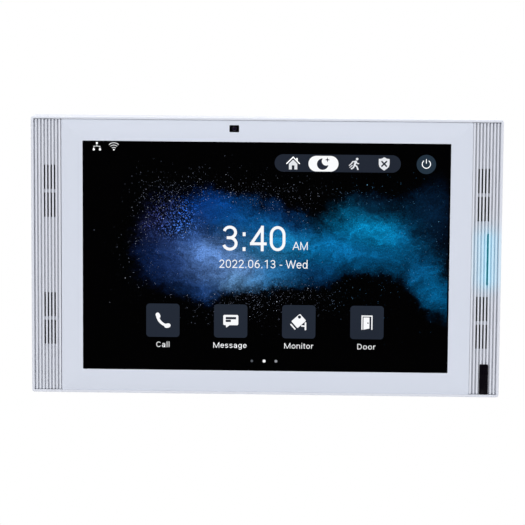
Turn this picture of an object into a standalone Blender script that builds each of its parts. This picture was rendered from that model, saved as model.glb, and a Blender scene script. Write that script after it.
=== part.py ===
"""Wall-hung video intercom monitor with a ten inch touch display.

X runs across the front from left to right, +Y runs from the front towards the wall, +Z is up.
The origin is on the wall plane, in the middle of the wall bracket's back face.
Sizes below are in millimetres, and MM turns them into Blender's metres.
"""

import math

import bmesh
import bpy
from mathutils import Vector

MM = 0.001

# ---------------------------------------------------------------- driving dimensions
WIDTH, HEIGHT, DEPTH = 280.6, 166.6, 25.0
LIP = 1.55  # width of the frame's rim seen from the front
GAP = 0.35  # seam between the glass, the grilles and the rim
SNUG = 0.3  # clearance between parts that touch

FRONT = -DEPTH
HALF_W, HALF_H = WIDTH / 2, HEIGHT / 2
POCKET_W, POCKET_H = HALF_W - LIP, HALF_H - LIP

# Layers from the front to the wall, as (front, back) along Y.
GLASS = (FRONT + 0.3, FRONT + 2.0)
ADHESIVE = (GLASS[1] + SNUG, GLASS[1] + 0.7)
DECK = (ADHESIVE[1] + SNUG, ADHESIVE[1] + 1.9)
PANEL = (GLASS[1] + SNUG, GLASS[1] + 1.5)
TRAY = (GLASS[1] + SNUG, GLASS[1] + 3.3)
PLATE = (TRAY[1] + SNUG, TRAY[1] + 0.9)
BOARD = (PLATE[1] + 1.5, PLATE[1] + 3.1)
FRAME_BACK = -12.3
COVER_BACK = -0.5
BRACKET = (-1.5, 0.0)

# Display: a 10.1 inch 16:10 panel, whose frame reaches further below the picture than above it.
TRAY_X = 114.7
TRAY_Z = (-76.0, 72.3)
PANEL_X = 112.0
PANEL_Z = (-72.0, 71.0)

# Side grilles: grooves on a fixed pitch, four of them cut through in two groups of two slots.
GLASS_X = 122.2
GRILLE_X = (GLASS_X + 0.4, POCKET_W - GAP)
GRILLE_Y = (FRONT + 0.3, FRONT + 2.1)
GRILLE_Z = POCKET_H - GAP
GROOVE_FLOOR = FRONT + 1.2
FIRST_GROOVE = 124.25
GROOVE_PITCH = 2.0
GROOVE_WIDTH = 1.0
GROOVES = 8
SLOTTED_GROOVES = (1, 2, 3, 4)
SLOT_Z = ((22.7, 37.4), (39.45, 54.1))
SPEAKER_WINDOW_X = (124.2, 136.8)
SPEAKER_WINDOW_Z = 58.0

# Light bar in the fifth groove of the right grille, and the badge at the foot of that grille.
LIGHT_X = FIRST_GROOVE + 4 * GROOVE_PITCH
LIGHT_HALF = 15.1
BADGE_X = (128.6, 133.9)
BADGE_TOP = -63.3

CAMERA_X, CAMERA_Z = -19.05, 77.0
SPEAKER_X, SPEAKER_Z = 125.0, -38.5
SPEAKER_HALF = (9.5, 19.5)
MIC_X, MIC_Z = 130.25, 38.8

# Rear cover: a brim inside the frame and a narrower tub behind it.
TUB_X, TUB_Z = 134.3, 77.3
WALL = 2.0
BRIM = (-14.2, FRAME_BACK - 0.2)
POSTS = [(sx * 127.0, sz * 69.0) for sx in (-1, 1) for sz in (-1, 1)]
POST_TOP = -8.6
WELL_FLOOR = -6.5

# Wall bracket and the four hooks that the monitor hangs on.
BRACKET_X, BRACKET_Z = 60.0, 48.0
RECESS_FLOOR = -2.2
LIFT = 6.0  # how far the monitor rises to come off its hooks
HOOKS = [(sx * 50.0, z) for sx in (-1, 1) for z in (-34.0, 36.0)]
HOOK_WIDTH, HOOK_THICK, HOOK_LIP = 8.0, 1.5, 4.0

# Connector bay in the rear cover, with the sockets opening downwards into it.
BAY_X, BAY_Z, BAY_FLOOR = 38.0, (-44.0, -6.0), -14.0
JACK_X, JACK_Y, JACK_Z = (13.0, 29.0), (-15.4, -4.2), (-5.9, 13.0)
SIGNAL_X, POWER_X = (-35.5, -9.5), (-6.5, 9.0)
HEADER_Y, HEADER_Z = (-15.4, -5.9), (-5.6, 4.5)
PLUG_Y = (-13.3, -7.0)
TERMINAL_PITCH = 3.5

BOARD_X, BOARD_Z = 72.0, (-42.0, 48.0)
BOARD_HOLES = [(sx * 66.0, z) for sx in (-1, 1) for z in (-37.0, 43.0)]
PLATE_HOLES = [(sx * 118.6, z) for sx in (-1, 1) for z in (0.0, 62.0)]
RESET_X, RESET_Z = 67.0, 20.0

ROUND_SEGMENTS = 20
SCREW_SEGMENTS = 12


# ---------------------------------------------------------------- scene and materials
def clear_scene():
    for obj in list(bpy.data.objects):
        bpy.data.objects.remove(obj)


def new_collection(name):
    collection = bpy.data.collections.new(name)
    bpy.context.scene.collection.children.link(collection)
    return collection


def make_material(name, colour, roughness, metallic=0.0):
    material = bpy.data.materials.new(name)
    material.use_nodes = True
    shader = material.node_tree.nodes["Principled BSDF"]
    shader.inputs["Base Color"].default_value = (*colour, 1.0)
    shader.inputs["Roughness"].default_value = roughness
    shader.inputs["Metallic"].default_value = metallic
    return material


clear_scene()
PARTS = new_collection("video_intercom_monitor")
CUTTERS = new_collection("cutters")

WHITE = make_material("white_plastic", (0.80, 0.82, 0.87), 0.45)
GLASS_LOOK = make_material("cover_glass", (0.78, 0.81, 0.88), 0.06)
DARK_MESH = make_material("dust_mesh", (0.03, 0.03, 0.035), 0.9)
BLACK_PLASTIC = make_material("black_plastic", (0.02, 0.02, 0.022), 0.4)
DISPLAY_LOOK = make_material("display", (0.01, 0.02, 0.06), 0.2)
LIGHT_LOOK = make_material("light_guide", (0.05, 0.6, 0.75), 0.3)
STEEL = make_material("zinc_steel", (0.62, 0.63, 0.65), 0.35, 1.0)
ALUMINIUM = make_material("aluminium", (0.75, 0.76, 0.78), 0.4, 1.0)
BOARD_LOOK = make_material("circuit_board", (0.02, 0.14, 0.08), 0.45)
TERMINAL_GREEN = make_material("terminal_green", (0.03, 0.32, 0.12), 0.5)
FLEX = make_material("flex_amber", (0.55, 0.26, 0.05), 0.4)
FOAM = make_material("black_foam", (0.03, 0.03, 0.03), 0.95)
RUBBER = make_material("rubber", (0.05, 0.05, 0.05), 0.8)
LENS = make_material("lens_glass", (0.04, 0.03, 0.08), 0.05)


# ---------------------------------------------------------------- building blocks
def empty(name, location=(0.0, 0.0, 0.0)):
    obj = bpy.data.objects.new(name, None)
    obj.location = Vector(location) * MM
    PARTS.objects.link(obj)
    return obj


BRACKET_BODY = empty("bracket_body")
MONITOR_BODY = empty("monitor_body")


def finish_part(obj, look, parent):
    """Put a solid in the parts collection with its material, riding on its body's empty."""
    if look is None:
        CUTTERS.objects.link(obj)
        obj.hide_render = True
        obj.display_type = "WIRE"
        return obj
    PARTS.objects.link(obj)
    obj.data.materials.append(look)
    obj.parent = MONITOR_BODY if parent is None else parent
    return obj


def object_from(name, bm, location, look=None, parent=None):
    mesh = bpy.data.meshes.new(name)
    bm.to_mesh(mesh)
    bm.free()
    mesh.shade_smooth()
    mesh.set_sharp_from_angle(angle=math.radians(35))
    obj = bpy.data.objects.new(name, mesh)
    obj.location = Vector(location) * MM
    return finish_part(obj, look, parent)


def middle(span):
    return (span[0] + span[1]) / 2


def add_cube(bm, x, y, z, origin):
    """Add a box between the (low, high) pairs to bm, in metres, measured from origin."""
    made = bmesh.ops.create_cube(bm, size=1.0)["verts"]
    size = Vector([high - low for low, high in (x, y, z)]) * MM
    place = (Vector((middle(x), middle(y), middle(z))) - Vector(origin)) * MM
    for vert in made:
        vert.co = Vector([vert.co[i] * size[i] for i in range(3)]) + place


def round_corners(bm, radius, segments=5):
    """Round the edges that run along Y."""
    along = [e for e in bm.edges if abs((e.verts[0].co - e.verts[1].co).normalized().y) > 0.99]
    bmesh.ops.bevel(bm, geom=along, offset=radius * MM, segments=segments, profile=0.5, affect="EDGES")


def soften(obj, width, segments=2):
    """Round the sharp rims of an object."""
    bevel = obj.modifiers.new("soften", "BEVEL")
    bevel.width = width * MM
    bevel.segments = segments
    bevel.limit_method = "ANGLE"
    bevel.angle_limit = math.radians(60)
    return obj


def block(name, x, y, z, look=None, corner=0.0, edge=0.0, parent=None):
    """A box between (low, high) pairs. corner rounds its edges along Y, and edge its remaining rims."""
    centre = (middle(x), middle(y), middle(z))
    bm = bmesh.new()
    add_cube(bm, x, y, z, centre)
    if corner:
        round_corners(bm, corner)
    obj = object_from(name, bm, centre, look, parent)
    return soften(obj, edge) if edge else obj


def blocks(name, spans):
    """A cutter made of boxes that stay clear of each other."""
    bm = bmesh.new()
    for x, y, z in spans:
        add_cube(bm, x, y, z, (0.0, 0.0, 0.0))
    return object_from(name, bm, (0.0, 0.0, 0.0))


def rods(name, centres, y, radius, look=None, parent=None, segments=ROUND_SEGMENTS):
    """Cylinders along Y at the (x, z) centres."""
    origin = (centres[0][0], middle(y), centres[0][1])
    bm = bmesh.new()
    for cx, cz in centres:
        made = bmesh.ops.create_cone(
            bm, cap_ends=True, segments=segments, radius1=radius * MM, radius2=radius * MM,
            depth=(y[1] - y[0]) * MM,
        )["verts"]
        for vert in made:
            turned = Vector((vert.co.x, vert.co.z, -vert.co.y))
            vert.co = turned + Vector((cx - origin[0], 0.0, cz - origin[2])) * MM
    return object_from(name, bm, origin, look, parent)


def boolean(obj, tool, operation):
    modifier = obj.modifiers.new(tool.name, "BOOLEAN")
    modifier.object = tool
    modifier.operation = operation
    modifier.solver = "EXACT"
    return obj


def cut(obj, *tools):
    for tool in tools:
        boolean(obj, tool, "DIFFERENCE")
    return obj


def join(obj, *tools):
    for tool in tools:
        boolean(obj, tool, "UNION")
    return obj


def turned(name, profile, location, look, parent=None, segments=ROUND_SEGMENTS):
    """A solid of revolution about Y: profile lists (radius, height towards the wall), top first."""
    bm = bmesh.new()
    verts = [bm.verts.new((radius * MM, 0.0, height * MM)) for radius, height in profile]
    for first, second in zip(verts, verts[1:]):
        bm.edges.new((first, second))
    obj = object_from(name, bm, location, look, parent)
    obj.rotation_euler = (math.radians(-90), 0.0, 0.0)
    screw = obj.modifiers.new("turn", "SCREW")
    screw.steps = screw.render_steps = segments
    screw.use_merge_vertices = True
    screw.merge_threshold = 0.00001
    return obj


def cross_screw(name, centre, head_face, head, shank, parent=None):
    """A pan head screw with a cross recess. head is (radius, height), shank is (radius, length)."""
    crown = 0.35 * head[1]
    profile = [
        (0.0, head[1]), (head[0] * 0.62, head[1]), (head[0], head[1] - crown), (head[0], 0.0),
        (shank[0], 0.0), (shank[0], 0.4 - shank[1]), (shank[0] * 0.55, -shank[1]), (0.0, -shank[1]),
    ]
    y = head_face - head[1]
    obj = turned(name, profile, (centre[0], y, centre[1]), STEEL, parent, SCREW_SEGMENTS)
    arm, slit = head[0] * 0.62, head[0] * 0.14
    depth = (head_face - head[1] * 0.55, head_face + 0.5)
    across = block(f"{name}_cross_x", (centre[0] - arm, centre[0] + arm), depth,
                   (centre[1] - slit, centre[1] + slit))
    upright = block(f"{name}_cross_z", (centre[0] - slit, centre[0] + slit), depth,
                    (centre[1] - arm, centre[1] + arm))
    return cut(obj, across, upright)


def smooth_points(points, count):
    """Points read evenly from a smooth curve through the given ones (centripetal-free Catmull-Rom)."""
    route = [Vector(p) for p in points]
    route = [2 * route[0] - route[1], *route, 2 * route[-1] - route[-2]]
    spans = len(route) - 3
    found = []
    for step in range(count):
        place = spans * step / (count - 1)
        i = min(int(place), spans - 1)
        t = place - i
        a, b, c, d = route[i : i + 4]
        found.append(0.5 * (2 * b + (c - a) * t + (2 * a - 5 * b + 4 * c - d) * t**2
                            + (3 * b - a - 3 * c + d) * t**3))
    return found


def wire(name, points, diameter, look, count):
    """A lead inside the case, along a smooth route."""
    curve = bpy.data.curves.new(name, "CURVE")
    curve.dimensions = "3D"
    curve.bevel_depth = diameter / 2 * MM
    curve.bevel_resolution = 2
    curve.use_fill_caps = True
    route = smooth_points(points, count)
    spline = curve.splines.new("POLY")
    spline.points.add(len(route) - 1)
    for point, place in zip(spline.points, route):
        point.co = (*(place * MM), 1.0)
    return finish_part(bpy.data.objects.new(name, curve), look, None)


def ribbon(name, x, route, thickness, look):
    """A flat flexible circuit as wide as x, along (y, z) points."""
    bm = bmesh.new()
    rows = [[bm.verts.new((side * MM, y * MM, z * MM)) for side in x] for y, z in route]
    for (a, b), (c, d) in zip(rows, rows[1:]):
        bm.faces.new((a, b, d, c))
    obj = object_from(name, bm, (0.0, 0.0, 0.0), look)
    solid = obj.modifiers.new("thickness", "SOLIDIFY")
    solid.thickness = thickness * MM
    solid.offset = 0.0
    return obj


def centred(value, half):
    return (value - half, value + half)


def mirrored(x, side):
    """The (low, high) pair on the right side, or its mirror image on the left."""
    return x if side > 0 else (-x[1], -x[0])


SIDES = {"left": -1, "right": 1}


# ---------------------------------------------------------------- front
def make_front_frame():
    frame = block("front_frame", (-HALF_W, HALF_W), (FRONT, FRAME_BACK), (-HALF_H, HALF_H),
                  WHITE, corner=1.6, edge=0.5)
    pockets = blocks("frame_pockets", [
        ((-POCKET_W, POCKET_W), (FRONT - 1, DECK[0]), (-POCKET_H, POCKET_H)),
        ((-POCKET_W, POCKET_W), (DECK[1], FRAME_BACK + 1), (-POCKET_H, POCKET_H)),
    ])
    through = (DECK[0] - 1, DECK[1] + 1)
    tray_window = block("frame_display_window", centred(0, TRAY_X + 0.4), through,
                        (TRAY_Z[0] - 0.4, TRAY_Z[1] + 0.4))
    camera_window = block("frame_camera_window", centred(CAMERA_X, 3.8), through,
                          (TRAY_Z[1] - 1, CAMERA_Z + 3.6))
    grille_windows = blocks("frame_grille_windows", [
        (mirrored(SPEAKER_WINDOW_X, side), through, (-SPEAKER_WINDOW_Z, SPEAKER_WINDOW_Z))
        for side in SIDES.values()
    ])
    cut(frame, pockets, tray_window, camera_window, grille_windows)
    join(frame, rods("frame_posts", POSTS, (DECK[1] - 0.4, POST_TOP), 3.4),
         rods("frame_bosses", PLATE_HOLES, (DECK[1] - 0.4, PLATE[0] - SNUG), 2.6))
    return cut(frame, rods("frame_post_holes", POSTS, (-18.0, POST_TOP + 1), 1.35),
               rods("frame_boss_holes", PLATE_HOLES, (DECK[0] + 0.2, PLATE[0] + 1), 1.0))


def make_glass():
    block("cover_glass", (-GLASS_X, GLASS_X), GLASS, (-GRILLE_Z, GRILLE_Z), GLASS_LOOK,
          corner=0.8, edge=0.2)
    ring = block("glass_adhesive", centred(0, GLASS_X - 0.6), ADHESIVE, centred(0, GRILLE_Z - 0.6), FOAM)
    through = (ADHESIVE[0] - 1, ADHESIVE[1] + 1)
    opening = block("adhesive_window", centred(0, TRAY_X + 1.3), through,
                    (TRAY_Z[0] - 1.4, TRAY_Z[1] + 0.7))
    notch = block("adhesive_camera_notch", centred(CAMERA_X, 4.0), through,
                  (TRAY_Z[1], CAMERA_Z + 3.0))
    cut(ring, opening, notch)


def groove_span(index):
    start = FIRST_GROOVE + index * GROOVE_PITCH - GROOVE_WIDTH / 2
    return (start, start + GROOVE_WIDTH)


def make_grille(label, side):
    grille = block(f"grille_{label}", mirrored(GRILLE_X, side), GRILLE_Y, (-GRILLE_Z, GRILLE_Z), WHITE)
    above = (FRONT - 1, GROOVE_FLOOR)
    along = (-GRILLE_Z - 1, GRILLE_Z + 1)
    grooves = [groove_span(i) for i in range(GROOVES - 1)]
    grooves.append((groove_span(GROOVES - 1)[0], GRILLE_X[1] + 1))
    cut(grille, blocks(f"grille_{label}_grooves", [(mirrored(x, side), above, along) for x in grooves]))
    heights = [*SLOT_Z, *[(-high, -low) for low, high in SLOT_Z]]
    through = (GROOVE_FLOOR - 0.5, GRILLE_Y[1] + 1)
    slots = [(mirrored(groove_span(i), side), through, z) for i in SLOTTED_GROOVES for z in heights]
    if side > 0:
        slots.append((centred(LIGHT_X, GROOVE_WIDTH / 2), through, centred(0, LIGHT_HALF + 0.15)))
    cut(grille, blocks(f"grille_{label}_slots", slots))
    if side > 0:
        cut(grille, block("grille_badge_pocket", BADGE_X, above, (-GRILLE_Z - 1, BADGE_TOP)))


def make_dust_mesh(label, side):
    y = (GRILLE_Y[1] + SNUG, GRILLE_Y[1] + 0.6)
    mesh = block(f"dust_mesh_{label}", mirrored((124.8, 133.9), side), y, centred(0, 57.0), DARK_MESH)
    if side > 0:
        cut(mesh, block("mesh_light_notch", (130.7, 135.0), (y[0] - 1, y[1] + 1), centred(0, 17.0)))


def make_light_bar():
    back = GRILLE_Y[1]
    guide = block("light_guide", centred(LIGHT_X, 0.37), (GROOVE_FLOOR - 0.4, back + 0.5),
                  centred(0, LIGHT_HALF), LIGHT_LOOK)
    join(guide, block("light_guide_flange", centred(LIGHT_X, 1.2), (back + SNUG, back + 0.9),
                      centred(0, 16.5)))
    board = block("led_board", centred(131.5, 4.0), (back + 1.9, back + 2.7), centred(0, 18.0), BOARD_LOOK)
    chips = [(centred(LIGHT_X, 0.8), (back + 1.2, back + 2.1), centred(step * 6.0, 1.6))
             for step in range(-2, 3)]
    join(board, blocks("led_chips", chips))


def make_badge():
    block("badge", (BADGE_X[0] + 0.15, BADGE_X[1] - 0.15), (FRONT + 0.1, GROOVE_FLOOR - SNUG),
          (-GRILLE_Z, BADGE_TOP - 0.15), BLACK_PLASTIC, edge=0.2)


def make_camera():
    x, z = centred(CAMERA_X, 3.3), centred(CAMERA_Z - 0.1, 3.3)
    module = block("camera_module", x, (-20.6, -17.6), z, BLACK_PLASTIC, edge=0.2)
    front = GLASS[1] + SNUG
    at = [(CAMERA_X, CAMERA_Z - 0.1)]
    join(module, rods("camera_barrel", at, (front, -20.4), 2.3))
    cut(module, rods("camera_barrel_bore", at, (front - 1, -21.0), 1.6))
    turned("camera_lens", [(0.0, 0.6), (1.4, 0.6), (1.4, 0.15), (0.8, 0.0), (0.0, -0.1)],
           (CAMERA_X, -21.8, CAMERA_Z - 0.1), LENS)


# ---------------------------------------------------------------- display stack
def make_display():
    block("display_panel", centred(0, PANEL_X), PANEL, PANEL_Z, DISPLAY_LOOK)
    tray = block("backlight_tray", centred(0, TRAY_X), TRAY, TRAY_Z, ALUMINIUM, corner=1.0)
    cut(tray, block("tray_pocket", centred(0, PANEL_X + 0.3), (TRAY[0] - 1, PANEL[1] + SNUG),
                    (PANEL_Z[0] - 0.3, PANEL_Z[1] + 0.3)))


def make_support_plate():
    plate = block("support_plate", centred(0, 113.5), PLATE, (-60.0, 68.0), STEEL, corner=3.0)
    for index, (x, z) in enumerate(PLATE_HOLES):
        side = math.copysign(1, x)
        join(plate, block(f"plate_ear_{index}", mirrored((112.0, 121.4), side), PLATE, centred(z, 4.0)))
    join(plate, rods("plate_standoffs", BOARD_HOLES, (PLATE[1] - 0.3, BOARD[0] - SNUG), 2.5))
    cut(plate, rods("plate_board_holes", BOARD_HOLES, (PLATE[0] - 1, BOARD[0] + 1), 1.25),
        rods("plate_ear_holes", PLATE_HOLES, (PLATE[0] - 1, PLATE[1] + 1), 1.4))
    for index, centre in enumerate(PLATE_HOLES, 1):
        cross_screw(f"plate_screw_{index}", centre, PLATE[1] + SNUG + 1.2, (2.2, 1.2), (0.8, 3.0))


def make_main_board():
    board = block("main_board", centred(0, BOARD_X), BOARD, BOARD_Z, BOARD_LOOK, corner=2.0)
    cut(board, rods("board_holes", BOARD_HOLES, (BOARD[0] - 1, BOARD[1] + 1), 1.4))
    for index, centre in enumerate(BOARD_HOLES, 1):
        cross_screw(f"board_screw_{index}", centre, BOARD[1] + SNUG + 1.3, (2.2, 1.3), (1.0, 3.2))
    top = BOARD[1] + SNUG
    block("processor_shield", (-62.0, -22.0), (top, top + 3.0), (12.0, 44.0), ALUMINIUM, corner=1.0, edge=0.3)
    block("power_transformer", (42.0, 56.0), (top, top + 8.6), (-2.0, 12.0), BLACK_PLASTIC, corner=0.8, edge=0.4)


# ---------------------------------------------------------------- connectors
def make_jack():
    jack = block("ethernet_jack", JACK_X, JACK_Y, JACK_Z, STEEL, edge=0.3)
    centre = middle(JACK_X)
    mouth = block("jack_mouth", centred(centre, 5.9), (-14.0, -6.2), (JACK_Z[0] - 1, 7.0))
    latch = block("jack_latch_notch", centred(centre, 3.2), (-6.6, -5.1), (JACK_Z[0] - 1, 5.0))
    cut(jack, mouth, latch)


def make_terminal(label, x):
    """A header soldered to the board, and the screw terminal plug that pushes up into it."""
    header = block(f"{label}_header", x, HEADER_Y, HEADER_Z, TERMINAL_GREEN, edge=0.2)
    cut(header, block(f"{label}_header_mouth", (x[0] + 0.8, x[1] - 0.8), (PLUG_Y[0] - 0.3, PLUG_Y[1] + 0.3),
                      (HEADER_Z[0] - 1, 3.5)))
    inside = (x[0] + 1.1, x[1] - 1.1)
    foot, top = -14.0, 3.2
    plug = block(f"{label}_plug", inside, PLUG_Y, (foot, top), TERMINAL_GREEN, edge=0.25)
    ways = int((inside[1] - inside[0]) // TERMINAL_PITCH)
    first = middle(inside) - (ways - 1) * TERMINAL_PITCH / 2
    centres = [first + i * TERMINAL_PITCH for i in range(ways)]
    cut(plug, blocks(f"{label}_wire_holes", [
        (centred(cx, 1.15), (PLUG_Y[0] + 0.9, PLUG_Y[0] + 3.3), (foot - 1, foot + 5.0)) for cx in centres
    ]))
    cut(plug, rods(f"{label}_screw_holes", [(cx, foot + 3.6) for cx in centres],
                   (PLUG_Y[1] - 1.6, PLUG_Y[1] + 1), 1.2, segments=12))


def make_reset():
    at = [(RESET_X, RESET_Z)]
    top = BOARD[1] + SNUG
    switch = block("reset_switch", centred(RESET_X, 3.0), (top, top + 3.6), centred(RESET_Z, 3.0), BLACK_PLASTIC)
    cut(switch, rods("reset_switch_bore", at, (-14.4, -10.0), 1.9))
    turned("reset_button", [(0.0, 12.3), (1.3, 12.3), (1.6, 12.0), (1.6, 0.0), (0.0, 0.0)],
           (RESET_X, -13.4, RESET_Z), WHITE)


# ---------------------------------------------------------------- sound
def make_speaker(label, side):
    x = side * SPEAKER_X
    half_x, half_z = SPEAKER_HALF
    gasket_y = (DECK[1] + SNUG, DECK[1] + 0.9)
    frame_y = (gasket_y[1] + SNUG, gasket_y[1] + 4.3)
    z = centred(SPEAKER_Z, half_z)
    gasket = block(f"speaker_gasket_{label}", centred(x, half_x), gasket_y, z, FOAM, corner=2.0)
    cut(gasket, block(f"gasket_{label}_window", centred(x, half_x - 1.6), (gasket_y[0] - 1, gasket_y[1] + 1),
                      centred(SPEAKER_Z, half_z - 1.6), corner=5.0))
    frame = block(f"speaker_frame_{label}", centred(x, half_x), frame_y, z, BLACK_PLASTIC, corner=2.0)
    cut(frame, block(f"speaker_{label}_dish", centred(x, half_x - 1.6), (frame_y[0] - 1, frame_y[1] - 1.2),
                     centred(SPEAKER_Z, half_z - 1.6), corner=6.0),
        rods(f"speaker_{label}_throat", [(x, SPEAKER_Z)], (frame_y[0], frame_y[1] + 1), 5.5))
    cone = block(f"speaker_cone_{label}", centred(x, half_x - 2.0), (frame_y[0] + 0.5, frame_y[0] + 1.1),
                 centred(SPEAKER_Z, half_z - 2.0), DARK_MESH, corner=5.6)
    join(cone, rods(f"cone_{label}_coil", [(x, SPEAKER_Z)], (frame_y[0] + 0.9, frame_y[1] - 0.2), 4.6))
    rods(f"speaker_magnet_{label}", [(x, SPEAKER_Z)], (frame_y[1] + SNUG, frame_y[1] + 3.7), 6.5, STEEL)


def make_microphone(label, side):
    at = [(side * MIC_X, MIC_Z)]
    boot = rods(f"mic_boot_{label}", at, (-22.0, -17.6), 4.6, RUBBER)
    cut(boot, rods(f"mic_{label}_seat", at, (-21.2, -17.0), 3.3),
        rods(f"mic_{label}_port", at, (-23.0, -20.5), 1.0, segments=12))
    rods(f"mic_capsule_{label}", at, (-20.9, -18.2), 3.0, ALUMINIUM)


# ---------------------------------------------------------------- leads and antennas
def make_leads():
    for label, side in SIDES.items():
        wire(f"audio_lead_{label}", [
            (side * 130.25, -17.4, 38.8), (side * 130.4, -14.6, 36.5), (side * 130.8, -12.6, 26.0),
            (side * 128.0, -12.0, 8.0), (side * 121.0, -12.0, -7.0), (side * 108.0, -12.0, -13.0),
            (side * 92.0, -12.4, -10.0), (side * 78.0, -13.6, -3.0), (side * 70.0, -14.7, -1.0),
        ], 1.6, BLACK_PLASTIC, count=24)
        block(f"wifi_antenna_{label}", mirrored((55.0, 95.0), side), (-11.5, -4.0), (74.6, 75.0), FLEX)
        wire(f"antenna_lead_{label}", [
            (side * 75.0, -8.0, 73.6), (side * 74.6, -9.0, 70.0), (side * 70.0, -12.0, 62.0),
            (side * 58.0, -13.6, 54.0), (side * 46.0, -14.0, 49.0), (side * 40.0, -14.9, 46.0),
        ], 1.2, BLACK_PLASTIC, count=18)
    ribbon("display_ribbon", (-60.5, -42.5), [
        (-19.45, -66.0), (-19.2, -69.0), (-18.0, -71.0), (-16.2, -70.6), (-15.0, -68.0), (-14.9, -60.0),
        (-14.9, -48.0), (-15.5, -43.2),
    ], 0.25, FLEX)
    ribbon("camera_ribbon", (CAMERA_X - 2.5, CAMERA_X + 2.5), [
        (-17.4, 77.0), (-15.6, 76.4), (-14.6, 74.0), (-14.3, 66.0), (-14.4, 56.0), (-15.3, 49.0),
    ], 0.2, FLEX)


# ---------------------------------------------------------------- rear cover and wall bracket
def vent_spans():
    """Two banks of upright vent slots, left and right of the wall bracket."""
    slots = []
    for side in SIDES.values():
        for step in range(9):
            slots.append((mirrored(centred(76.0 + step * 4.5, 1.0), side), (-4.0, 1.0), (34.0, 54.0)))
            slots.append((mirrored(centred(76.0 + step * 4.5, 1.0), side), (-4.0, 1.0), (-54.0, -34.0)))
    return slots


def make_rear_cover():
    cover = block("rear_cover", centred(0, TUB_X), (BRIM[0], COVER_BACK), centred(0, TUB_Z), WHITE,
                  corner=6.0, edge=1.6)
    join(cover, block("cover_brim", centred(0, POCKET_W - GAP), BRIM, centred(0, POCKET_H - GAP), corner=2.0))
    cut(cover, block("cover_hollow", centred(0, TUB_X - WALL), (BRIM[0] - 1, COVER_BACK - WALL),
                     centred(0, TUB_Z - WALL), corner=4.0))
    recess_z = (-BRACKET_Z - LIFT - 0.6, BRACKET_Z + 0.6)
    floor_back = RECESS_FLOOR - 1.7
    join(cover, block("cover_recess_floor", centred(0, BRACKET_X + 2.5), (floor_back, COVER_BACK - WALL + 0.5),
                      (recess_z[0] - 2, recess_z[1] + 2)),
         block("cover_bay_walls", centred(0, BAY_X + 1.7), (BAY_FLOOR - 1.3, COVER_BACK - 1),
               (BAY_Z[0] - 1.7, BAY_Z[1] + 1.7)))
    cut(cover, block("cover_recess", centred(0, BRACKET_X + 0.6), (RECESS_FLOOR, 1.0), recess_z, corner=4.0),
        block("cover_bay", centred(0, BAY_X), (BAY_FLOOR, 0.5), BAY_Z))
    sockets = [((x[0] - 0.3, x[1] + 0.3), (BAY_FLOOR - 2, floor_back - 0.05), (BAY_Z[1] - 0.5, BAY_Z[1] + 2.5))
               for x in (JACK_X, SIGNAL_X, POWER_X)]
    slots = [(centred(x, HOOK_WIDTH / 2 + 0.4), (floor_back - 1, 1.0),
              (z - HOOK_THICK / 2 - LIFT - 0.4, z + HOOK_THICK / 2 + SNUG)) for x, z in HOOKS]
    cut(cover, blocks("cover_sockets", sockets), blocks("cover_hook_slots", slots),
        blocks("cover_vents", vent_spans()))
    join(cover, rods("cover_wells", POSTS, (POST_TOP + 0.3, COVER_BACK - 1), 4.6))
    cut(cover, rods("cover_well_bores", POSTS, (WELL_FLOOR, 1.0), 3.1),
        rods("cover_screw_holes", POSTS, (POST_TOP - 1, WELL_FLOOR + 1), 1.6),
        rods("cover_reset_hole", [(RESET_X, RESET_Z)], (-5.0, 1.0), 2.0))
    for index, centre in enumerate(POSTS, 1):
        cross_screw(f"case_screw_{index}", centre, WELL_FLOOR + SNUG + 1.9, (2.6, 1.9), (1.15, 9.0))


def make_wall_bracket():
    plate = block("wall_bracket", centred(0, BRACKET_X), BRACKET, centred(0, BRACKET_Z), STEEL,
                  corner=4.0, parent=BRACKET_BODY)
    hooks = []
    reach = -6.2
    for x, z in HOOKS:
        hooks.append(block(f"hook_neck_{len(hooks)}", centred(x, HOOK_WIDTH / 2), (reach, BRACKET[0] + 0.5),
                           centred(z, HOOK_THICK / 2)))
        hooks.append(block(f"hook_lip_{len(hooks)}", centred(x, HOOK_WIDTH / 2 - 0.4), (reach, reach + 1.5),
                           (z, z + HOOK_THICK / 2 + HOOK_LIP)))
    join(plate, *hooks)
    through = (BRACKET[0] - 1, BRACKET[1] + 1)
    cable_window = block("bracket_cable_window", centred(0, 36.0), through, (-34.0, -8.0), corner=2.0)
    lightening = blocks("bracket_lightening", [
        (centred(step * 24.0, 10.0), through, (10.0, 30.0)) for step in (-1, 0, 1)
    ])
    wide = blocks("bracket_box_slots", [
        (centred(side * 30.0, 4.0), through, centred(0, 2.2)) for side in SIDES.values()
    ])
    upright = rods("bracket_box_holes", [(0.0, -41.75), (0.0, 41.75)], through, 2.2)
    corners = rods("bracket_corner_holes", [(sx * 50.0, sz * 22.0) for sx in (-1, 1) for sz in (-1, 1)], through, 2.5)
    cut(plate, cable_window, lightening, wide, upright, corners)


def main():
    make_wall_bracket()
    make_front_frame()
    make_glass()
    for label, side in SIDES.items():
        make_grille(label, side)
        make_dust_mesh(label, side)
        make_speaker(label, side)
        make_microphone(label, side)
    make_light_bar()
    make_badge()
    make_camera()
    make_display()
    make_support_plate()
    make_main_board()
    make_jack()
    make_terminal("signal", SIGNAL_X)
    make_terminal("power", POWER_X)
    make_reset()
    make_leads()
    make_rear_cover()


main()
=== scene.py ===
"""Looks of a wall-hung video intercom monitor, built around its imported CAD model.

Everything is in the model's frame: X to the right, +Y from the front towards the wall, +Z up.
Shapes are worked out in millimetres and stored in metres.
"""

import math
from functools import reduce

import bmesh
import bpy
from mathutils import Matrix, Vector
from mathutils.geometry import delaunay_2d_cdt


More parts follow.
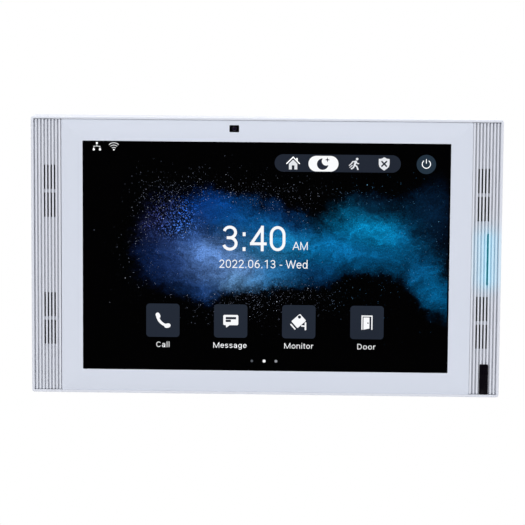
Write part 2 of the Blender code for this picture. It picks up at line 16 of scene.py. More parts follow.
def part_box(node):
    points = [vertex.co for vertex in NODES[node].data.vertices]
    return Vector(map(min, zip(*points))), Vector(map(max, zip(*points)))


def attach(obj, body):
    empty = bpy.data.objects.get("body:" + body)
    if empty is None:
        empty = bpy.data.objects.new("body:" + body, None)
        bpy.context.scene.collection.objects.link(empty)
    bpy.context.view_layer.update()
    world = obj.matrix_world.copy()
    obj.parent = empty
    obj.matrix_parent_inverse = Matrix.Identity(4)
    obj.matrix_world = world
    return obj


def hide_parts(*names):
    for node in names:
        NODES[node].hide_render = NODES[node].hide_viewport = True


MM = 0.001
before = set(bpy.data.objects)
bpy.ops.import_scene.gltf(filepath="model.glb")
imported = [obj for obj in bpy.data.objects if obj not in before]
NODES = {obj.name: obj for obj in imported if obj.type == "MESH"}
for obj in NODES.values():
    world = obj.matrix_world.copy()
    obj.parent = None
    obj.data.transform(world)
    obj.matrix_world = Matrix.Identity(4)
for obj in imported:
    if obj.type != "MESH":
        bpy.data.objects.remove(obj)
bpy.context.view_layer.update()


def node_box(name):
    """Lowest and highest corners of a CAD node, in millimetres."""
    low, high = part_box(name)
    return low / MM, high / MM


GLASS_LOW, GLASS_HIGH = node_box("cover_glass")
GLASS_FACE = GLASS_LOW.y
BADGE_LOW, BADGE_HIGH = node_box("badge")
GUIDE_LOW, GUIDE_HIGH = node_box("light_guide")
GUIDE_X = (GUIDE_LOW.x + GUIDE_HIGH.x) / 2

# The display behind the glass: the dark window in the printed border, and the picture inside it.
WINDOW_X, WINDOW_TOP, WINDOW_FOOT = 109.5, 68.8, -68.9
PICTURE_X, PICTURE_Z = 108.48, 67.8


# ---- node materials
class Surface:
    """A Principled material with short calls for its nodes."""

    def __init__(self, name, colour=(0.8, 0.8, 0.8), roughness=0.5, metallic=0.0, specular=0.5):
        self.material = bpy.data.materials.new(name)
        self.material.use_nodes = True
        self.tree = self.material.node_tree
        self.shader = self.tree.nodes["Principled BSDF"]
        self.set("Base Color", (*colour, 1.0))
        self.set("Roughness", roughness)
        self.set("Metallic", metallic)
        self.set("Specular IOR Level", specular)
        self.position = self.tree.nodes.new("ShaderNodeTexCoord").outputs["Object"]

    def set(self, socket, value):
        if isinstance(value, bpy.types.NodeSocket):
            self.tree.links.new(value, self.shader.inputs[socket])
        else:
            self.shader.inputs[socket].default_value = value

    def feed(self, socket, value):
        if isinstance(value, bpy.types.NodeSocket):
            self.tree.links.new(value, socket)
        elif value is not None:
            socket.default_value = value

    def math(self, operation, a, b=None, c=None):
        node = self.tree.nodes.new("ShaderNodeMath")
        node.operation = operation
        for socket, value in zip(node.inputs, (a, b, c)):
            self.feed(socket, value)
        return node.outputs[0]

    def plus(self, a, b):
        return self.math("ADD", a, b)

    def minus(self, a, b):
        return self.math("SUBTRACT", a, b)

    def times(self, a, b):
        return self.math("MULTIPLY", a, b)

    def vector(self, operation, a, b=None):
        node = self.tree.nodes.new("ShaderNodeVectorMath")
        node.operation = operation
        self.feed(node.inputs[0], a)
        self.feed(node.inputs[1], b)
        return node.outputs[0]

    def axes(self, vector=None):
        node = self.tree.nodes.new("ShaderNodeSeparateXYZ")
        self.feed(node.inputs[0], self.position if vector is None else vector)
        return node.outputs

    def noise(self, scale, detail=2.0, roughness=0.5, vector=None, colour=False, stretch=None):
        """Noise with `scale` waves per unit, optionally stretched along the axes."""
        node = self.tree.nodes.new("ShaderNodeTexNoise")
        source = self.position if vector is None else vector
        if stretch is not None:
            source = self.vector("MULTIPLY", source, stretch)
        self.feed(node.inputs["Vector"], source)
        node.inputs["Scale"].default_value = scale
        node.inputs["Detail"].default_value = detail
        node.inputs["Roughness"].default_value = roughness
        return node.outputs["Color" if colour else "Fac"]

    def cells(self, scale, feature="F1", vector=None, output="Distance"):
        node = self.tree.nodes.new("ShaderNodeTexVoronoi")
        node.feature = feature
        self.feed(node.inputs["Vector"], self.position if vector is None else vector)
        node.inputs["Scale"].default_value = scale
        return node.outputs[output]

    def ramp(self, value, low, high, out_low=0.0, out_high=1.0):
        node = self.tree.nodes.new("ShaderNodeMapRange")
        node.interpolation_type = "SMOOTHSTEP"
        for socket, number in zip(node.inputs, (value, low, high, out_low, out_high)):
            self.feed(socket, number)
        return node.outputs[0]

    def mix(self, factor, a, b, blend="MIX"):
        node = self.tree.nodes.new("ShaderNodeMix")
        node.data_type = "RGBA"
        node.blend_type = blend
        self.feed(node.inputs[0], factor)
        for socket, value in ((node.inputs[6], a), (node.inputs[7], b)):
            self.feed(socket, (*value, 1.0) if isinstance(value, tuple) else value)
        return node.outputs[2]

    def dyed(self, a, b):
        """A colour multiplied by another colour or by a grey value."""
        return self.mix(1.0, a, b, "MULTIPLY")

    def added(self, a, b):
        return self.mix(1.0, a, b, "ADD")

    def bump(self, height, distance):
        node = self.tree.nodes.new("ShaderNodeBump")
        node.inputs["Distance"].default_value = distance
        self.feed(node.inputs["Height"], height)
        self.feed(self.shader.inputs["Normal"], node.outputs[0])

    def glow(self, colour, strength=1.0):
        self.set("Emission Color", (*colour, 1.0) if isinstance(colour, tuple) else colour)
        self.set("Emission Strength", strength)


def scaled(colour, factor):
    return tuple(channel * factor for channel in colour)


def moulded_plastic(name, colour, roughness=0.45, grain=2600.0, depth=0.00001, specular=0.5):
    """Moulded plastic: a fine spark-eroded grain, faint flow marks and handling smudges."""
    surface = Surface(name, colour, roughness, specular=specular)
    flow = surface.noise(14.0, 3.0, 0.6)
    surface.set("Base Color", surface.mix(flow, scaled(colour, 0.965), scaled(colour, 1.02)))
    smudge = surface.noise(45.0, 4.0, 0.6)
    surface.set("Roughness", surface.ramp(smudge, 0.3, 0.75, roughness - 0.05, roughness + 0.08))
    surface.bump(surface.noise(grain, 3.0, 0.55), depth)
    return surface


def sheet_metal(name, colour, roughness, brush, depth=0.000004):
    """Zinc-plated or rolled metal: faint crystal-like patches and long fine lines along X."""
    surface = Surface(name, colour, roughness, metallic=1.0)
    lines = surface.noise(3000.0, 2.0, 0.5, stretch=(brush * 0.15, 1.0, 1.0))
    patches = surface.cells(110.0, output="Color")
    shade, _, _ = surface.axes(patches)
    tone = surface.mix(shade, scaled(colour, 0.93), scaled(colour, 1.05))
    surface.set("Base Color", surface.mix(surface.ramp(lines, 0.3, 0.7, 0.0, 0.5), tone, scaled(colour, 0.9)))
    surface.set("Roughness", surface.ramp(lines, 0.3, 0.7, roughness - 0.05, roughness + 0.08))
    surface.bump(lines, depth)
    return surface


WHITE = (0.665, 0.69, 0.765)
WHITE_ROUGHNESS = 0.42


def printed_border():
    """The white print behind the glass, seen through its polished face."""
    surface = Surface("printed_border")
    depth_of_print = surface.noise(6.0, 2.0, 0.5)
    surface.set("Base Color", surface.mix(depth_of_print, (0.634, 0.674, 0.774), (0.667, 0.703, 0.794)))
    wipe = surface.noise(22.0, 5.0, 0.6, stretch=(1.0, 1.0, 0.35))
    surface.set("Roughness", surface.ramp(wipe, 0.35, 0.8, 0.05, 0.11))
    return surface


def bell(surface, u, v):
    """A bell curve in two directions, 1 in the middle."""
    square = surface.math("MULTIPLY_ADD", u, u, surface.times(v, v))
    return surface.math("EXPONENT", surface.times(square, -1.0))


def cloud_blob(surface, place, centre, radius, tilt):
    """How much of a soft oval of powder covers a point, from 0 to 1. Sizes are in millimetres."""
    x, z, _ = surface.axes(place)
    dx = surface.minus(x, centre[0])
    dz = surface.minus(z, centre[1])
    cosine, sine = math.cos(math.radians(tilt)), math.sin(math.radians(tilt))
    along = surface.plus(surface.times(dx, cosine / radius[0]), surface.times(dz, sine / radius[0]))
    across = surface.minus(surface.times(dz, cosine / radius[1]), surface.times(dx, sine / radius[1]))
    return bell(surface, along, across)


# Soft ovals of coloured powder: centre, radii and tilt in millimetres and degrees, linear colour.
POWDER = (
    ((-19, -3), (19, 10), -14, (0.068, 0.142, 0.300)),
    ((-37, 0), (16, 12), 12, (0.040, 0.090, 0.235)),
    ((-57, -3), (15, 12), 0, (0.003, 0.013, 0.065)),
    ((-60, 20), (13, 13), 0, (0.007, 0.009, 0.037)),
    ((-45, 17), (12, 10), -20, (0.010, 0.038, 0.140)),
    ((-30, 29), (17, 8), -8, (0.001, 0.022, 0.130)),
    ((-12, 20), (17, 10), -20, (0.002, 0.050, 0.165)),
    ((6, 8), (16, 11), 0, (0.006, 0.130, 0.280)),
    ((-16, -14), (14, 5), 0, (0.050, 0.115, 0.205)),
    ((4, -12), (16, 6), 8, (0.006, 0.085, 0.210)),
    ((10, 22), (14, 7), -20, (0.001, 0.014, 0.075)),
    ((30, 7), (17, 9), 0, (0.001, 0.085, 0.215)),
    ((28, -9), (18, 6), 0, (0.001, 0.018, 0.060)),
    ((47, 6), (13, 10), 0, (0.001, 0.055, 0.145)),
    ((60, 17), (17, 9), -10, (0.001, 0.150, 0.320)),
    ((62, -1), (15, 8), -10, (0.001, 0.055, 0.140)),
    ((80, 10), (10, 13), -20, (0.001, 0.060, 0.150)),
    ((92, -6), (9, 10), 25, (0.001, 0.042, 0.110)),
    ((104, -18), (9, 13), 20, (0.001, 0.080, 0.200)),
    ((99, 27), (12, 17), 0, (0.001, 0.008, 0.024)),
    ((-38, -18), (14, 7), 0, (0.004, 0.022, 0.090)),
    ((62, 31), (14, 7), 0, (0.001, 0.007, 0.020)),
)
# Where loose grains fly: centre, radii and tilt, and how densely.
DUST = (
    ((-58, 26), (17, 14), -20, 1.3), ((-70, 2), (11, 16), 0, 0.3), ((2, 36), (32, 11), 0, 0.55),
    ((-40, 40), (24, 9), 0, 0.35), ((60, 36), (28, 12), 0, 0.3), ((4, -25), (46, 9), 4, 0.9),
    ((92, 2), (20, 26), 0, 0.45), ((-20, 6), (44, 24), 0, 0.35),
)
# Small and large stars: cells per millimetre, a star's radius in cells, the share of the cells that hold one
# where dust is dense, and linear colour.
STARS = (
    (1.9, 0.27, 0.80, (0.64, 0.73, 1.00)),
    (0.75, 0.12, 0.5, (2.3, 2.5, 3.0)),
)
UNLIT = (0.0004, 0.0004, 0.0005)      # the display's black
POLISH = 0.05                         # roughness of the glass over the display


def ridges(surface, place, scale, detail, roughness):
    """How far a noise is from its middle value, so that it is 0 along thin wandering lines."""
    return surface.math("ABSOLUTE", surface.minus(surface.noise(scale, detail, roughness, place), 0.5))


def display_picture():
    """A burst of blue powder on black, drawn by noise, behind the polished glass."""
    surface = Surface("display_picture", UNLIT, POLISH, specular=0.3)
    ramp, times, dyed = surface.ramp, surface.times, surface.dyed
    x, _, z = surface.axes()
    flat = surface.tree.nodes.new("ShaderNodeCombineXYZ")
    surface.feed(flat.inputs[0], surface.math("DIVIDE", x, MM))
    surface.feed(flat.inputs[1], surface.math("DIVIDE", z, MM))
    still = flat.outputs[0]

    def drift(scale, detail, roughness):
        """A noisy direction, up to a half either way."""
        noise = surface.noise(scale, detail, roughness, still, colour=True)
        return surface.vector("SUBTRACT", noise, (0.5, 0.5, 0.5))

    def pushed(point, direction, *reach):
        return surface.vector("ADD", point, surface.vector("MULTIPLY", direction, (*reach, 0.0)))

    # Clouds, with their outlines bent by slow swirls and broken up by fine curls.
    swirl = drift(0.030, 3.0, 0.55)
    place = pushed(pushed(still, swirl, 24.0, 18.0), drift(0.10, 9.0, 0.78), 26.0, 20.0)
    amounts = [cloud_blob(surface, place, *oval) for *oval, _ in POWDER]
    cover = reduce(surface.plus, amounts)
    colour = reduce(surface.added, [dyed(tint, amount) for (*_, tint), amount in zip(POWDER, amounts)])

    # Billows and thin slanting wisps inside the clouds. Towards their edges the powder breaks into grains.
    slant = surface.vector("MULTIPLY", pushed(place, swirl, 60.0, 0.0), (0.55, 1.5, 1.0))
    billow = ramp(surface.noise(0.055, 9.0, 0.68, slant), 0.30, 0.70, 0.55, 1.50)
    wisp = times(ramp(ridges(surface, slant, 0.085, 7.0, 0.62), 0.0, 0.07, 1.30, 0.94),
                 ramp(ridges(surface, slant, 0.21, 6.0, 0.65), 0.0, 0.06, 1.40, 0.90))
    grain = surface.minus(surface.noise(1.1, 2.0, 0.9, still), 0.5)
    coarse = ramp(cover, 0.10, 1.2, 4.2, 2.1)
    rough = surface.math("MAXIMUM", surface.math("MULTIPLY_ADD", grain, coarse, 1.0), 0.0)

    # Where loose grains fly, each has its own brightness and stands out from the next.
    crowd = reduce(surface.plus, [times(cloud_blob(surface, place, *oval), share) for *oval, share in DUST])
    _, glint, _ = surface.axes(surface.cells(1.75, vector=still, output="Color"))
    spark = times(surface.math("POWER", glint, 7.0), 8.0)
    loose = ramp(crowd, 0.35, 1.0, 0.0, 0.85)
    rough = surface.math("MULTIPLY_ADD", surface.minus(spark, rough), loose, rough)
    body = times(times(billow, wisp), rough)
    sky = dyed(colour, times(body, ramp(cover, 0.02, 0.40)))

    # Stars, sparser over dense powder, whitish on the left and tinted by the teal powder on the right.
    hue = surface.mix(ramp(x, 25 * MM, 60 * MM), (1.0, 1.0, 1.0), (0.30, 0.75, 1.0))
    sparse = times(crowd, ramp(cover, 0.6, 1.2, 1.0, 0.2))
    for scale, size, share, tint in STARS:
        distance = surface.cells(scale, vector=still)
        chance, light, _ = surface.axes(surface.cells(scale, vector=still, output="Color"))
        chosen = surface.math("LESS_THAN", chance, times(sparse, share))
        point = ramp(distance, size * 0.4, size * 1.15, 1.0, 0.0)
        shine = times(times(point, chosen), surface.math("POWER", light, 5.0))
        sky = surface.added(sky, dyed(dyed(tint, hue), shine))
    inside_x = surface.math("LESS_THAN", surface.math("ABSOLUTE", x), PICTURE_X * MM)
    inside_z = surface.math("LESS_THAN", surface.math("ABSOLUTE", z), PICTURE_Z * MM)
    surface.glow(dyed(sky, times(inside_x, inside_z)))
    return surface


def interface_ink(name, colour, strength=1.0, variation=0.0):
    """Lit parts of the display's start page. Large ones vary, as if the picture showed through them."""
    surface = Surface(name, UNLIT, POLISH, specular=0.3)
    if variation:
        veil = surface.noise(30.0, 3.0, 0.5)
        tone = surface.mix(veil, scaled(colour, 1 - variation), scaled(colour, 1 + variation))
        surface.glow(tone, strength)
    else:
        subpixels = surface.noise(4000.0, 0.0, 0.5)
        surface.glow(surface.mix(subpixels, scaled(colour, 0.97), colour), strength)
    return surface


def grille_plastic(lit):
    """The grille's white plastic, with painted shade in its grooves. Beside the light bar, a painted cyan
    glow stands for the light that soaks into it.
    """
    surface = Surface("grille_plastic_lit" if lit else "grille_plastic", roughness=WHITE_ROUGHNESS)
    _, y, _ = surface.axes()
    flow = surface.noise(14.0, 3.0, 0.6)
    tone = surface.mix(flow, scaled(WHITE, 1.0), scaled(WHITE, 1.05))
    # Painted shade: the base colour darkens to 0.73 of the white with depth into the grooves.
    painted_groove_shade = surface.ramp(y, (GLASS_FACE + 0.12) * MM, (GLASS_FACE + 0.75) * MM)
    colour = surface.mix(painted_groove_shade, tone, scaled(WHITE, 0.73))
    surface.bump(surface.noise(2600.0, 3.0, 0.55), 0.00001)
    if lit:
        # Painted glow from the light bar: cyan emission and a cyan tint on the base colour, spread wide and
        # close to the bar.
        wide = painted_glow_reach(surface, 9.0, 8.0)
        near = painted_glow_reach(surface, 1.7, 5.0)
        colour = surface.mix(wide, colour, surface.dyed(colour, (0.85, 0.985, 1.0)))
        colour = surface.mix(near, colour, surface.dyed(colour, (0.90, 1.0, 1.0)))
        painted_spill = surface.dyed(surface.mix(painted_groove_shade, (0.0, 0.122, 0.17), (0.036, 0.130, 0.215)), wide)
        surface.glow(surface.added(painted_spill, surface.dyed((0.02, 0.065, 0.08), near)))
    surface.set("Base Color", colour)
    return surface


def frame_plastic():
    """The frame's white plastic. Beside the light bar, the front of its rim has a painted cyan glow: a cyan
    tint on its colour and cyan emission.
    """
    surface = moulded_plastic("frame_plastic", WHITE, WHITE_ROUGHNESS)
    _, y, _ = surface.axes()
    front = surface.ramp(y, (GLASS_FACE + 0.5) * MM, (GLASS_FACE + 3.0) * MM, 1.0, 0.0)
    # Painted glow from the light bar on the front of the rim: a cyan tint on the base colour and cyan
    # emission.
    painted_spill = surface.times(painted_glow_reach(surface, 9.0, 8.0), front)
    tone = surface.shader.inputs["Base Color"].links[0].from_socket
    surface.set("Base Color", surface.mix(painted_spill, tone, surface.dyed(tone, (0.86, 0.97, 1.0))))
    surface.glow(surface.dyed((0.0, 0.16, 0.23), painted_spill))
    return surface


def painted_glow_reach(surface, width, height):
    """How strongly the painted glow of the light bar shows at a point, fading to its sides and past its ends,
    in millimetres.
    """
    evenly_lit = 11.0 * MM      # up to this height above and below the middle of the bar
    x, _, z = surface.axes()
    aside = surface.minus(x, GUIDE_X * MM)
    beyond = surface.math("MAXIMUM", surface.minus(surface.math("ABSOLUTE", z), evenly_lit), 0.0)
    u = surface.math("DIVIDE", aside, width * MM)
    v = surface.math("DIVIDE", beyond, height * MM)
    return bell(surface, u, v)


def stripes(surface, along, pitch):
    """A wave between -1 and 1 with a pitch in millimetres."""
    return surface.math("SINE", surface.times(along, 2 * math.pi / (pitch * MM)))


def light_guide():
    """Cyan light, slightly brighter over each of the lamps behind it."""
    surface = Surface("light_guide", (0.004, 0.05, 0.065), 0.35, specular=0.2)
    _, _, z = surface.axes()
    tone = surface.ramp(stripes(surface, z, 6.0), -1.0, 1.0, 0.93, 1.05)
    surface.glow(surface.dyed((0.001, 0.115, 0.175), tone))
    return surface


def badge_gloss():
    surface = Surface("badge_gloss", specular=0.22)
    haze = surface.noise(500.0, 4.0, 0.6)
    surface.set("Roughness", surface.ramp(haze, 0.3, 0.7, 0.10, 0.18))
    surface.set("Base Color", surface.mix(haze, (0.002, 0.0016, 0.003), (0.005, 0.004, 0.006)))
    return surface


def circuit_board():
    """Green solder mask, paler over the raised copper tracks."""
    surface = Surface("circuit_board", roughness=0.35)
    mask = surface.noise(120.0, 2.0, 0.5)
    tracks = surface.cells(240.0, "DISTANCE_TO_EDGE")
    line = surface.ramp(tracks, 0.03, 0.06, 1.0, 0.0)
    base = surface.mix(mask, (0.006, 0.065, 0.035), (0.010, 0.09, 0.05))
    surface.set("Base Color", surface.mix(line, base, (0.02, 0.17, 0.08)))
    surface.bump(line, 0.00003)
    return surface


def flexible_circuit():
    """Amber film with copper tracks along its length."""
    surface = Surface("flexible_circuit", roughness=0.35)
    x, _, _ = surface.axes()
    track = surface.ramp(stripes(surface, x, 0.9), -0.2, 0.2)
    surface.set("Base Color", surface.mix(track, (0.42, 0.17, 0.03), (0.62, 0.32, 0.08)))
    return surface


def cloth_mesh():
    """Black acoustic mesh, woven with a pitch of a third of a millimetre."""
    surface = Surface("acoustic_mesh", roughness=0.9)
    x, _, z = surface.axes()
    pitch = 0.32
    weave = surface.times(stripes(surface, x, pitch), stripes(surface, z, pitch))
    thread = surface.ramp(weave, -1.0, 1.0)
    surface.set("Base Color", surface.mix(thread, (0.032, 0.032, 0.038), (0.085, 0.085, 0.098)))
    surface.bump(weave, 0.00004)
    return surface


def soft_foam():
    surface = Surface("soft_foam", roughness=0.95)
    pores = surface.cells(1400.0)
    # Painted shade in the pores: each pit is darker where the bump sinks it.
    surface.set("Base Color", surface.mix(pores, (0.010, 0.010, 0.011), (0.045, 0.045, 0.048)))
    surface.bump(pores, 0.00008)
    return surface


def lens_glass():
    surface = Surface("lens_glass", roughness=0.03, specular=0.3)
    surface.set("Coat Weight", 0.3)
    surface.set("Coat Roughness", 0.02)
    coating = surface.noise(300.0, 2.0, 0.5)
    surface.set("Base Color", surface.mix(coating, (0.003, 0.002, 0.008), (0.008, 0.004, 0.020)))
    return surface


def label_paper(name, colour):
    """Satin label film with faint fibres."""
    surface = Surface(name, colour, 0.5)
    fibres = surface.noise(900.0, 4.0, 0.7)
    surface.set("Base Color", surface.mix(fibres, scaled(colour, 0.94), scaled(colour, 1.05)))
    surface.bump(fibres, 0.000004)
    return surface


def panel_glass():
    """The display panel's own glass, with its fine columns of cells."""
    surface = Surface("panel_glass")
    x, _, _ = surface.axes()
    columns = surface.ramp(stripes(surface, x, 0.17), -1.0, 1.0, 0.0, 0.25)
    haze = surface.noise(40.0, 3.0, 0.5)
    tone = surface.mix(haze, (0.005, 0.006, 0.010), (0.009, 0.010, 0.016))
    surface.set("Base Color", surface.mix(columns, tone, (0.014, 0.016, 0.026)))
    surface.set("Roughness", surface.ramp(haze, 0.3, 0.7, 0.06, 0.12))
    return surface


def black_window():
    surface = Surface("camera_window", (0.0015, 0.0015, 0.002), specular=0.3)
    haze = surface.noise(260.0, 3.0, 0.5)
    surface.set("Roughness", surface.ramp(haze, 0.3, 0.7, 0.04, 0.10))
    return surface


LOOKS = {
    "white": moulded_plastic("white_plastic", WHITE, WHITE_ROUGHNESS),
    "frame": frame_plastic(),
    "grille": grille_plastic(False),
    "lit": grille_plastic(True),
    "border": printed_border(),
    "picture": display_picture(),
    "seal": moulded_plastic("seal_bead", scaled(WHITE, 0.8), 0.6, 1500.0, 0.00002),
    "guide": light_guide(),
    "badge": badge_gloss(),
    "board": circuit_board(),
    "flex": flexible_circuit(),
    "mesh": cloth_mesh(),
    "foam": soft_foam(),
    "lens": lens_glass(),
    "window": black_window(),
    "black": moulded_plastic("black_plastic", (0.018, 0.018, 0.020), 0.38, 1800.0, 0.00002),
    "rubber": moulded_plastic("rubber", (0.020, 0.020, 0.021), 0.75, 1200.0, 0.00003, 0.3),
    "green": moulded_plastic("terminal_green", (0.020, 0.21, 0.075), 0.48, 1500.0, 0.00002),
    "zinc": sheet_metal("zinc_steel", (0.56, 0.57, 0.59), 0.34, 0.06),
    "screw": sheet_metal("screw_steel", (0.42, 0.42, 0.44), 0.30, 0.5),
    "aluminium": sheet_metal("aluminium", (0.74, 0.75, 0.77), 0.36, 0.04),
    "gold": sheet_metal("contact_gold", (0.83, 0.60, 0.26), 0.25, 0.5),
    "paper": label_paper("label_paper", (0.80, 0.81, 0.84)),
    "print": label_paper("label_print", (0.035, 0.035, 0.038)),
    "panel": panel_glass(),
    "ink_white": interface_ink("ink_white", (0.97, 0.98, 1.0)),
    "ink_text": interface_ink("ink_text", (0.97, 0.98, 1.0), 1.25),
    "ink_grey": interface_ink("ink_grey", (0.78, 0.80, 0.84)),
    "ink_dark": interface_ink("ink_dark", (0.018, 0.022, 0.038)),
    "ink_dim": interface_ink("ink_dim", (0.10, 0.11, 0.13)),
    "ink_dot": interface_ink("ink_dot", (0.30, 0.31, 0.34)),
    "ink_tile": interface_ink("ink_tile", (0.0175, 0.0235, 0.037), 1.0, 0.12),
    "ink_bar": interface_ink("ink_bar", (0.0165, 0.0215, 0.034), 1.0, 0.14),
    "ink_disc": interface_ink("ink_disc", (0.0190, 0.0340, 0.052), 1.0, 0.14),
}


# ---- shape tools
SHARP = math.radians(35)      # faces that meet at a sharper angle than this keep their edge


def new_piece(name, bm, looks, body="monitor"):
    """A finished piece, which rides on its body and takes its finishes from the looks it is given."""
    bmesh.ops.recalc_face_normals(bm, faces=bm.faces)
    mesh = bpy.data.meshes.new(name)
    bm.to_mesh(mesh)
    bm.free()
    mesh.shade_smooth()
    mesh.set_sharp_from_angle(angle=SHARP)
    for look in looks:
        mesh.materials.append(LOOKS[look].material)
    obj = bpy.data.objects.new(name, mesh)
    bpy.context.scene.collection.objects.link(obj)
    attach(obj, body)
    return obj


def upright_loop(bm, outline, y):
    """Vertices along an outline in the plane at depth y, in millimetres."""
    return [bm.verts.new((x * MM, y * MM, z * MM)) for x, z in outline]


def skin(bm, loops):
    """Close a body over a row of loops with equally many vertices. Returns the face on the last loop."""
    for first, second in zip(loops, loops[1:]):
        for i in range(len(first)):
            j = (i + 1) % len(first)
            bm.faces.new((first[i], first[j], second[j], second[i]))
    bm.faces.new(loops[0])
    return bm.faces.new(loops[-1])


def circle(cx, cz, radius, count=32, start=0.0, end=360.0):
    whole = abs(end - start) >= 360.0
    steps = count if whole else count - 1
    return [
        (cx + radius * math.cos(math.radians(start + (end - start) * i / steps)),
         cz + radius * math.sin(math.radians(start + (end - start) * i / steps)))
        for i in range(count)
    ]


def rounded(x0, x1, z0, z1, radius, count=7):
    """A rounded rectangle, anticlockwise from its lower right corner."""
    corners = ((x1, z0, -90), (x1, z1, 0), (x0, z1, 90), (x0, z0, 180))
    points = []
    for x, z, angle in corners:
        cx = x - radius if x == x1 else x + radius
        cz = z - radius if z == z1 else z + radius
        points += circle(cx, cz, radius, count, angle, angle + 90)
    return points


def turned(points, degrees):
    cosine, sine = math.cos(math.radians(degrees)), math.sin(math.radians(degrees))
    return [(x * cosine - z * sine, x * sine + z * cosine) for x, z in points]


def moved(points, dx, dz, size=1.0):
    return [(x * size + dx, z * size + dz) for x, z in points]


def stroke(points, width, caps=True):
    """The outline of a line of constant width, with round ends."""
    half = width / 2
    sides = ([], [])
    for i, (x, z) in enumerate(points):
        before = Vector(points[max(i - 1, 0)])
        after = Vector(points[min(i + 1, len(points) - 1)])
        here = Vector((x, z))
        first = (here - before).normalized() if i else (after - here).normalized()
        last = (after - here).normalized() if i < len(points) - 1 else first
        normal = Vector((-(first.y + last.y), first.x + last.x))
        normal.normalize()
        reach = half / max(0.5, normal.dot(Vector((-first.y, first.x))))
        sides[0].append((x + normal.x * reach, z + normal.y * reach))
        sides[1].append((x - normal.x * reach, z - normal.y * reach))
    outline = list(sides[0])
    if caps:
        outline += cap(points[-1], points[-2], half)
    outline += reversed(sides[1])
    if caps:
        outline += cap(points[0], points[1], half)
    return outline


def cap(end, inner, half, count=7):
    """A half circle round the end of a line, without its two end points."""
    facing = math.atan2(end[1] - inner[1], end[0] - inner[0])
    angles = [facing + math.pi / 2 - math.pi * (i + 1) / (count + 1) for i in range(count)]
    return [(end[0] + half * math.cos(a), end[1] + half * math.sin(a)) for a in angles]


def anticlockwise(loop):
    area = sum(a[0] * b[1] - b[0] * a[1] for a, b in zip(loop, [*loop[1:], loop[0]]))
    return loop if area > 0 else loop[::-1]


def plate(bm, shapes, y, holes=(), thickness=0.02):
    """Add a thin upright plate over the union of closed outlines, less the holes, in millimetres."""
    points, loops = [], []
    for outline in [*shapes, *holes]:
        loops.append(list(range(len(points), len(points) + len(outline))))
        points += [Vector(point) for point in anticlockwise(outline)]
    flat, _, faces, _, _, sources = delaunay_2d_cdt(points, [], loops, 1, 1e-5)
    corners = [bm.verts.new((x * MM, (y + thickness / 2) * MM, z * MM)) for x, z in flat]
    covered = []
    for face, inside in zip(faces, sources):
        if inside and max(inside) < len(shapes):
            covered.append(bm.faces.new([corners[i] for i in face]))
    for corner in corners:
        if not corner.link_faces:
            bm.verts.remove(corner)
    made = bmesh.ops.extrude_face_region(bm, geom=covered)
    front = [v for v in made["geom"] if isinstance(v, bmesh.types.BMVert)]
    bmesh.ops.translate(bm, verts=front, vec=(0.0, -thickness * MM, 0.0))


def drawing(name, look, y, groups):
    """One object from groups of outlines. A group is a list of shapes, or a pair of shapes and holes."""
    bm = bmesh.new()
    for group in groups:
        shapes, holes = group if isinstance(group, tuple) else (group, [])
        plate(bm, shapes, y, holes)
    new_piece(name, bm, [look])


# ---- lettering
def bow(cx, cz, rx, rz, start, end, steps=14):
    """Points along part of an ellipse."""
    angles = [math.radians(start + (end - start) * i / steps) for i in range(steps + 1)]
    return [(cx + rx * math.cos(a), cz + rz * math.sin(a)) for a in angles]


def dot(cx, cz, half=0.075):
    return [(cx, cz - half), (cx, cz + half)]


def oval(cx, cz, rx, rz, straight=0.0):
    """An upright oval as two strokes that overlap at its foot and crown."""
    return [
        bow(cx, cz + straight, rx, rz, 80, 180) + bow(cx, cz - straight, rx, rz, 180, 280),
        bow(cx, cz - straight, rx, rz, -100, 0) + bow(cx, cz + straight, rx, rz, 0, 100),
    ]


